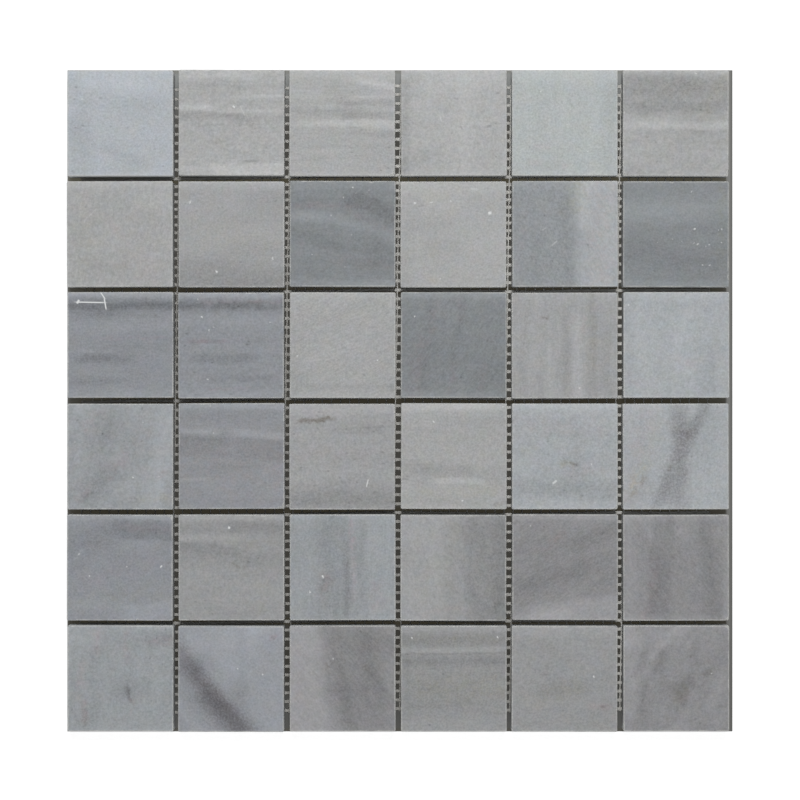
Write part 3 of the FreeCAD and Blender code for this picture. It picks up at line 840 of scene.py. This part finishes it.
# The net as laid: weft spacing, its pinched stretch, its sag at the upright joints and at the
# sheet's sides, left to right, and the lean of the warp
WEFT_COUNT = 72
WEFT_TOP = 143.85
WEFT_PITCH = 4.07
PINCHED_PITCH = 3.51
PINCHED = range(10, 18)
SAGS = (2.4, 1.8, 0.9, 0.0, 0.8, 0.2, 0.0)
WARP_COUNT = 69
WARP_PITCH = 4.194
WARP_MIDDLE = -1.13
WARP_LEAN = 0.0165
TAIL = 1.1
WEFT_SWAY = 0.35
WARP_SWAY = 0.25

# Width and thickness of the yarns, the height of a cross yarn's middle, and the heights of
# the two long yarns of a pair at their ends, at a crossing and between two crossings, with
# how far each stands to the side of the other
WEFT_SECTION = (1.5, 0.28)
WARP_SECTION = (0.5, 0.18)
WEFT_MIDDLE = 0.30
OVER_HEIGHTS = (0.45, 0.50, 0.36)
UNDER_HEIGHTS = (0.15, 0.10, 0.22)
HALF_TWIST = 0.22
WEFT_STEPS = 71


def make_profile(name, width, thick):
    """Flattened six-sided section of a yarn, to be swept along its route."""
    outline = bpy.data.curves.new(name, "CURVE")
    outline.dimensions = "2D"
    spline = outline.splines.new("POLY")
    corners = [(-0.5, 0), (-0.34, -0.5), (0.34, -0.5), (0.5, 0), (0.34, 0.5), (-0.34, 0.5)]
    spline.points.add(len(corners) - 1)
    for point, (x, y) in zip(spline.points, corners):
        point.co = (x * width * MM, y * thick * MM, 0, 1)
    spline.use_cyclic_u = True
    return bpy.data.objects.new(name, outline)


def sweep(name, routes, profile, material, node=None):
    """One mesh of many yarns, each swept along its own route of points in millimetres."""
    curve = bpy.data.curves.new(name, "CURVE")
    curve.dimensions = "3D"
    curve.twist_mode = "Z_UP"
    curve.bevel_mode = "OBJECT"
    curve.bevel_object = profile
    curve.use_fill_caps = True
    curve.resolution_u = 2
    for route in routes:
        spline = curve.splines.new("NURBS")
        spline.points.add(len(route) - 1)
        for point, place in zip(spline.points, route):
            point.co = (place[0] * MM, place[1] * MM, place[2] * MM, 1)
        spline.order_u = 3
        spline.use_endpoint_u = True
    holder = bpy.data.objects.new(name + "_route", curve)
    bpy.context.scene.collection.objects.link(holder)
    bpy.context.view_layer.update()
    swept = holder.evaluated_get(bpy.context.evaluated_depsgraph_get())
    mesh = bpy.data.meshes.new_from_object(swept)
    bpy.data.objects.remove(holder)
    mesh.name = name
    mesh.materials.clear()
    mesh.materials.append(material)
    bm = bmesh.new()
    bm.from_mesh(mesh)
    bmesh.ops.remove_doubles(bm, verts=bm.verts, dist=MERGE)
    bmesh.ops.recalc_face_normals(bm, faces=bm.faces)
    bm.to_mesh(mesh)
    bm.free()
    piece = bpy.data.objects.new(name, mesh)
    bpy.context.scene.collection.objects.link(piece)
    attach(piece, "root")
    if node:
        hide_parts(node)


def weft_level(index):
    """Y of a cross yarn at the middle of the sheet."""
    pinched = sum(1 for space in range(index) if space in PINCHED)
    return WEFT_TOP - (index - pinched) * WEFT_PITCH - pinched * PINCHED_PITCH


def sag(x):
    """How far the cross yarns hang below their level, eased from joint to joint."""
    joint = min(max(x / TILE_PITCH + COLUMNS / 2, 0.0), COLUMNS - 0.001)
    before = int(joint)
    eased = (1 - math.cos(math.pi * (joint - before))) / 2
    return SAGS[before] * (1 - eased) + SAGS[before + 1] * eased


def sway(index, along, slow, quick):
    """How a yarn wanders, in slow and in quick waves, each as length, step and seed."""
    slow_wave, quick_wave = [
        noise.noise(Vector((along / length, index * step, seed)))
        for length, step, seed in (slow, quick)
    ]
    return slow_wave + 0.5 * quick_wave


def weft_y(index, x):
    wander = WEFT_SWAY * sway(index, x, (22, 0.31, 3.0), (7, 1.7, 9.0))
    return weft_level(index) - sag(x) + wander


def warp_x(index, y):
    wander = WARP_SWAY * sway(index, y, (25, 0.37, 17.0), (8, 1.3, 5.0))
    return WARP_MIDDLE + (index - (WARP_COUNT - 1) / 2) * WARP_PITCH + WARP_LEAN * y + wander


def strand(crossings, turn, heights):
    """Route of one long yarn of a pair, which changes sides from crossing to crossing."""
    end, crossing, between = heights
    route = []
    for number, (x, y) in enumerate(crossings):
        side = turn if number % 2 else -turn
        if number == 0:
            route.append((x + side, y + TAIL, end))
        route.append((x + side, y, crossing))
        if number + 1 < len(crossings):
            next_x, next_y = crossings[number + 1]
            route.append(((x + next_x) / 2, (y + next_y) / 2, between))
        else:
            route.append((x + side, y - TAIL, end))
    return route


def make_net():
    """Cross yarns, and a twisted pair of long yarns that holds each of them at every crossing."""
    span = (WARP_COUNT - 1) * WARP_PITCH / 2 + TAIL
    wefts = []
    for index in range(WEFT_COUNT):
        xs = [WARP_MIDDLE - span + 2 * span * step / WEFT_STEPS for step in range(WEFT_STEPS + 1)]
        wefts.append([(x, weft_y(index, x), WEFT_MIDDLE) for x in xs])
    profile = make_profile("weft_section", *WEFT_SECTION)
    sweep("net_cross_yarns", wefts, profile, glass_fibre("glass_fibre_across", "X"), "net_weft")

    overs, unders = [], []
    for index in range(WARP_COUNT):
        crossings = []
        for weft in range(WEFT_COUNT):
            y = weft_y(weft, warp_x(index, weft_level(weft)))
            crossings.append((warp_x(index, y), y))
        overs.append(strand(crossings, HALF_TWIST, OVER_HEIGHTS))
        unders.append(strand(crossings, -HALF_TWIST, UNDER_HEIGHTS))
    profile = make_profile("warp_section", *WARP_SECTION)
    fibre = glass_fibre("glass_fibre_along", "Y")
    middle = WARP_COUNT // 2
    for half, yarns in (("left", slice(middle)), ("right", slice(middle, None))):
        sweep("net_long_yarns_over_" + half, overs[yarns], profile, fibre, "net_warp")
        sweep("net_long_yarns_under_" + half, unders[yarns], profile, fibre)


# Half the floor's side in metres; and in millimetres how far it lies below the sheet, half
# the side of the painted shade on the ground, and how much farther this painted shadow
# reaches on the right
FLOOR_HALF = 3.0
FLOOR_DROP = 0.05
SHADE_HALF = SHEET_HALF + 1.0
STRIP_WIDTH = 1.7

# Colours of the floor: what it reflects on the white, and the painted shade under the tiles,
# along their rim and beside them; and what it gives off, on the white and as the glow of the
# painted shade, the last five at the sheet's lower and upper end
FLOOR_WHITE = srgb(238, 238, 238)
SHADE_MIDDLE = srgb(40, 38, 34)
SHADE_RIM = (srgb(76, 76, 75), srgb(126, 128, 128))
SHADE_BESIDE = srgb(60, 60, 58)
GLOW_WHITE = (0.50, 0.50, 0.50, 1)
GLOW_MIDDLE = (srgb(47, 46, 43), srgb(70, 69, 66))
GLOW_RIM = (srgb(52, 52, 50), srgb(84, 85, 83))
GLOW_BETWEEN_ROWS = (srgb(49, 46, 38), srgb(68, 65, 54))
GLOW_BESIDE = (srgb(94, 94, 92), srgb(122, 122, 120))
GLOW_OUTERMOST = (srgb(73, 73, 71), srgb(91, 91, 89))


def floor_paint():
    """White, with painted shade under the sheet and a painted shadow in a narrow strip beside its right
    side.

    The joints look down into this painted shade, which is paler at the sheet's rim and towards its
    upper end and browner between the rows.
    """
    material, tree = new_material("floor")
    parts = tree.add("SeparateXYZ", tree.place()).outputs
    leftward = tree.math("MULTIPLY", parts[0], -1.0)
    rightward = tree.math("SUBTRACT", parts[0], STRIP_WIDTH)
    reach = tree.math("MAXIMUM", leftward, rightward)
    reach = tree.math("MAXIMUM", reach, tree.math("ABSOLUTE", parts[1]))
    inside = tree.ramp(reach, SHADE_HALF + 0.2, SHADE_HALF - 0.2, smooth=False)
    # Painted light: the shade is paler near the sheet's edges and towards its upper end
    rim = tree.ramp(reach, 122.0, 147.0)
    northward = tree.ramp(parts[1], -SHEET_HALF, SHEET_HALF, smooth=False)
    shade = tree.mix(rim, SHADE_MIDDLE, tree.mix(northward, *SHADE_RIM))
    # Painted shadow of the sheet in a strip beside its right side
    beside = tree.ramp(parts[0], 149.6, 150.6)
    shade = tree.mix(beside, shade, SHADE_BESIDE)
    diffuse = tree.add("BsdfDiffuse", tree.mix(inside, FLOOR_WHITE, shade))
    # Glow of the painted shade for camera rays, paler at the rim and towards the upper end
    gloom = tree.mix(rim, tree.mix(northward, *GLOW_MIDDLE), tree.mix(northward, *GLOW_RIM))
    # Painted shade: darker and browner between the rows, less so at the top joint
    between_rows = tree.ramp(tree.math("PINGPONG", parts[1], TILE_PITCH / 2), 1.2, 2.2, 1.0, 0.0)
    top_joint = tree.ramp(parts[1], 60.0, 98.0)
    gloom = tree.mix(between_rows, gloom, tree.mix(top_joint, *GLOW_BETWEEN_ROWS))
    outermost = tree.ramp(parts[0], 151.6, 152.3)
    strip = tree.mix(outermost, tree.mix(northward, *GLOW_BESIDE), tree.mix(northward, *GLOW_OUTERMOST))
    gloom = tree.mix(beside, gloom, strip)
    glow = tree.mix(inside, GLOW_WHITE, gloom)
    seen = tree.add("LightPath").outputs
    ray = tree.math("MAXIMUM", seen["Is Camera Ray"], seen["Is Glossy Ray"])
    ray = tree.math("MAXIMUM", ray, seen["Is Transmission Ray"])
    lit = tree.add("Emission", glow, ray)
    both = tree.add("AddShader", diffuse.outputs[0], lit.outputs[0])
    tree.add("OutputMaterial", both.outputs[0])
    return material


def make_stage():
    """Floor under the sheet, white with painted shade beneath and beside the sheet, its upper side a
    little below the lowest yarns.
    """
    bm = bmesh.new()
    bmesh.ops.create_grid(bm, x_segments=1, y_segments=1, size=FLOOR_HALF)
    bmesh.ops.translate(bm, verts=bm.verts, vec=(0, 0, -FLOOR_DROP * MM))
    mesh = bpy.data.meshes.new("floor")
    bm.to_mesh(mesh)
    bm.free()
    floor = bpy.data.objects.new("floor", mesh)
    bpy.context.scene.collection.objects.link(floor)
    mesh.materials.append(floor_paint())


# The lights' names, places and powers, their width and height, and the surround's level
SOFTBOXES = (
    ("upper_softbox", Vector((0.03, 0.85, 1.25)), 12.0),
    ("lower_softbox", Vector((0.03, -0.85, 1.25)), 7.3),
)
SOFTBOX_SIZE = (0.45, 0.7)
SURROUND = 0.27


def add_lamp(name, place, power):
    lamp = bpy.data.lights.new(name, "AREA")
    lamp.shape = "RECTANGLE"
    lamp.size, lamp.size_y = SOFTBOX_SIZE
    lamp.energy = power
    holder = bpy.data.objects.new(name, lamp)
    bpy.context.scene.collection.objects.link(holder)
    holder.location = place
    holder.rotation_euler = (-place).to_track_quat("-Z", "Y").to_euler()


def make_light():
    """Two soft lights, beyond the sheet's upper and lower edges, and an even pale surround."""
    for name, place, power in SOFTBOXES:
        add_lamp(name, place, power)
    world = bpy.data.worlds.new("studio")
    bpy.context.scene.world = world
    world.use_nodes = True
    world.node_tree.nodes.clear()
    tree = Tree(world.node_tree)
    seen = tree.add("LightPath").outputs
    strength = tree.math("MULTIPLY_ADD", seen["Is Camera Ray"], 1.0 - SURROUND, SURROUND)
    back = tree.add("Background", (1, 1, 1, 1), strength)
    tree.add("OutputWorld", back.outputs[0])


# The camera stands straight above the sheet, a little off its middle, as in the picture
PIXELS = 800
PIXELS_PER_MM = 2.206
SHEET_MIDDLE_PIXEL = (398.1, 400.8)
CAMERA_RISE = 1.27
SENSOR = 36.0


def make_camera():
    data = bpy.data.cameras.new("camera")
    data.sensor_width = SENSOR
    data.lens = SENSOR * CAMERA_RISE / (PIXELS / PIXELS_PER_MM * MM)
    camera = bpy.data.objects.new("camera", data)
    bpy.context.scene.collection.objects.link(camera)
    right = (PIXELS / 2 - SHEET_MIDDLE_PIXEL[0]) / PIXELS_PER_MM
    up = (SHEET_MIDDLE_PIXEL[1] - PIXELS / 2) / PIXELS_PER_MM
    camera.location = (right * MM, up * MM, FACE_Z + CAMERA_RISE)
    bpy.context.scene.camera = camera


for row in range(1, ROWS + 1):
    for column in range(1, COLUMNS + 1):
        make_tile(row, column)
make_net()
make_stage()
make_light()
make_camera()
bpy.context.scene.view_settings.view_transform = "Standard"
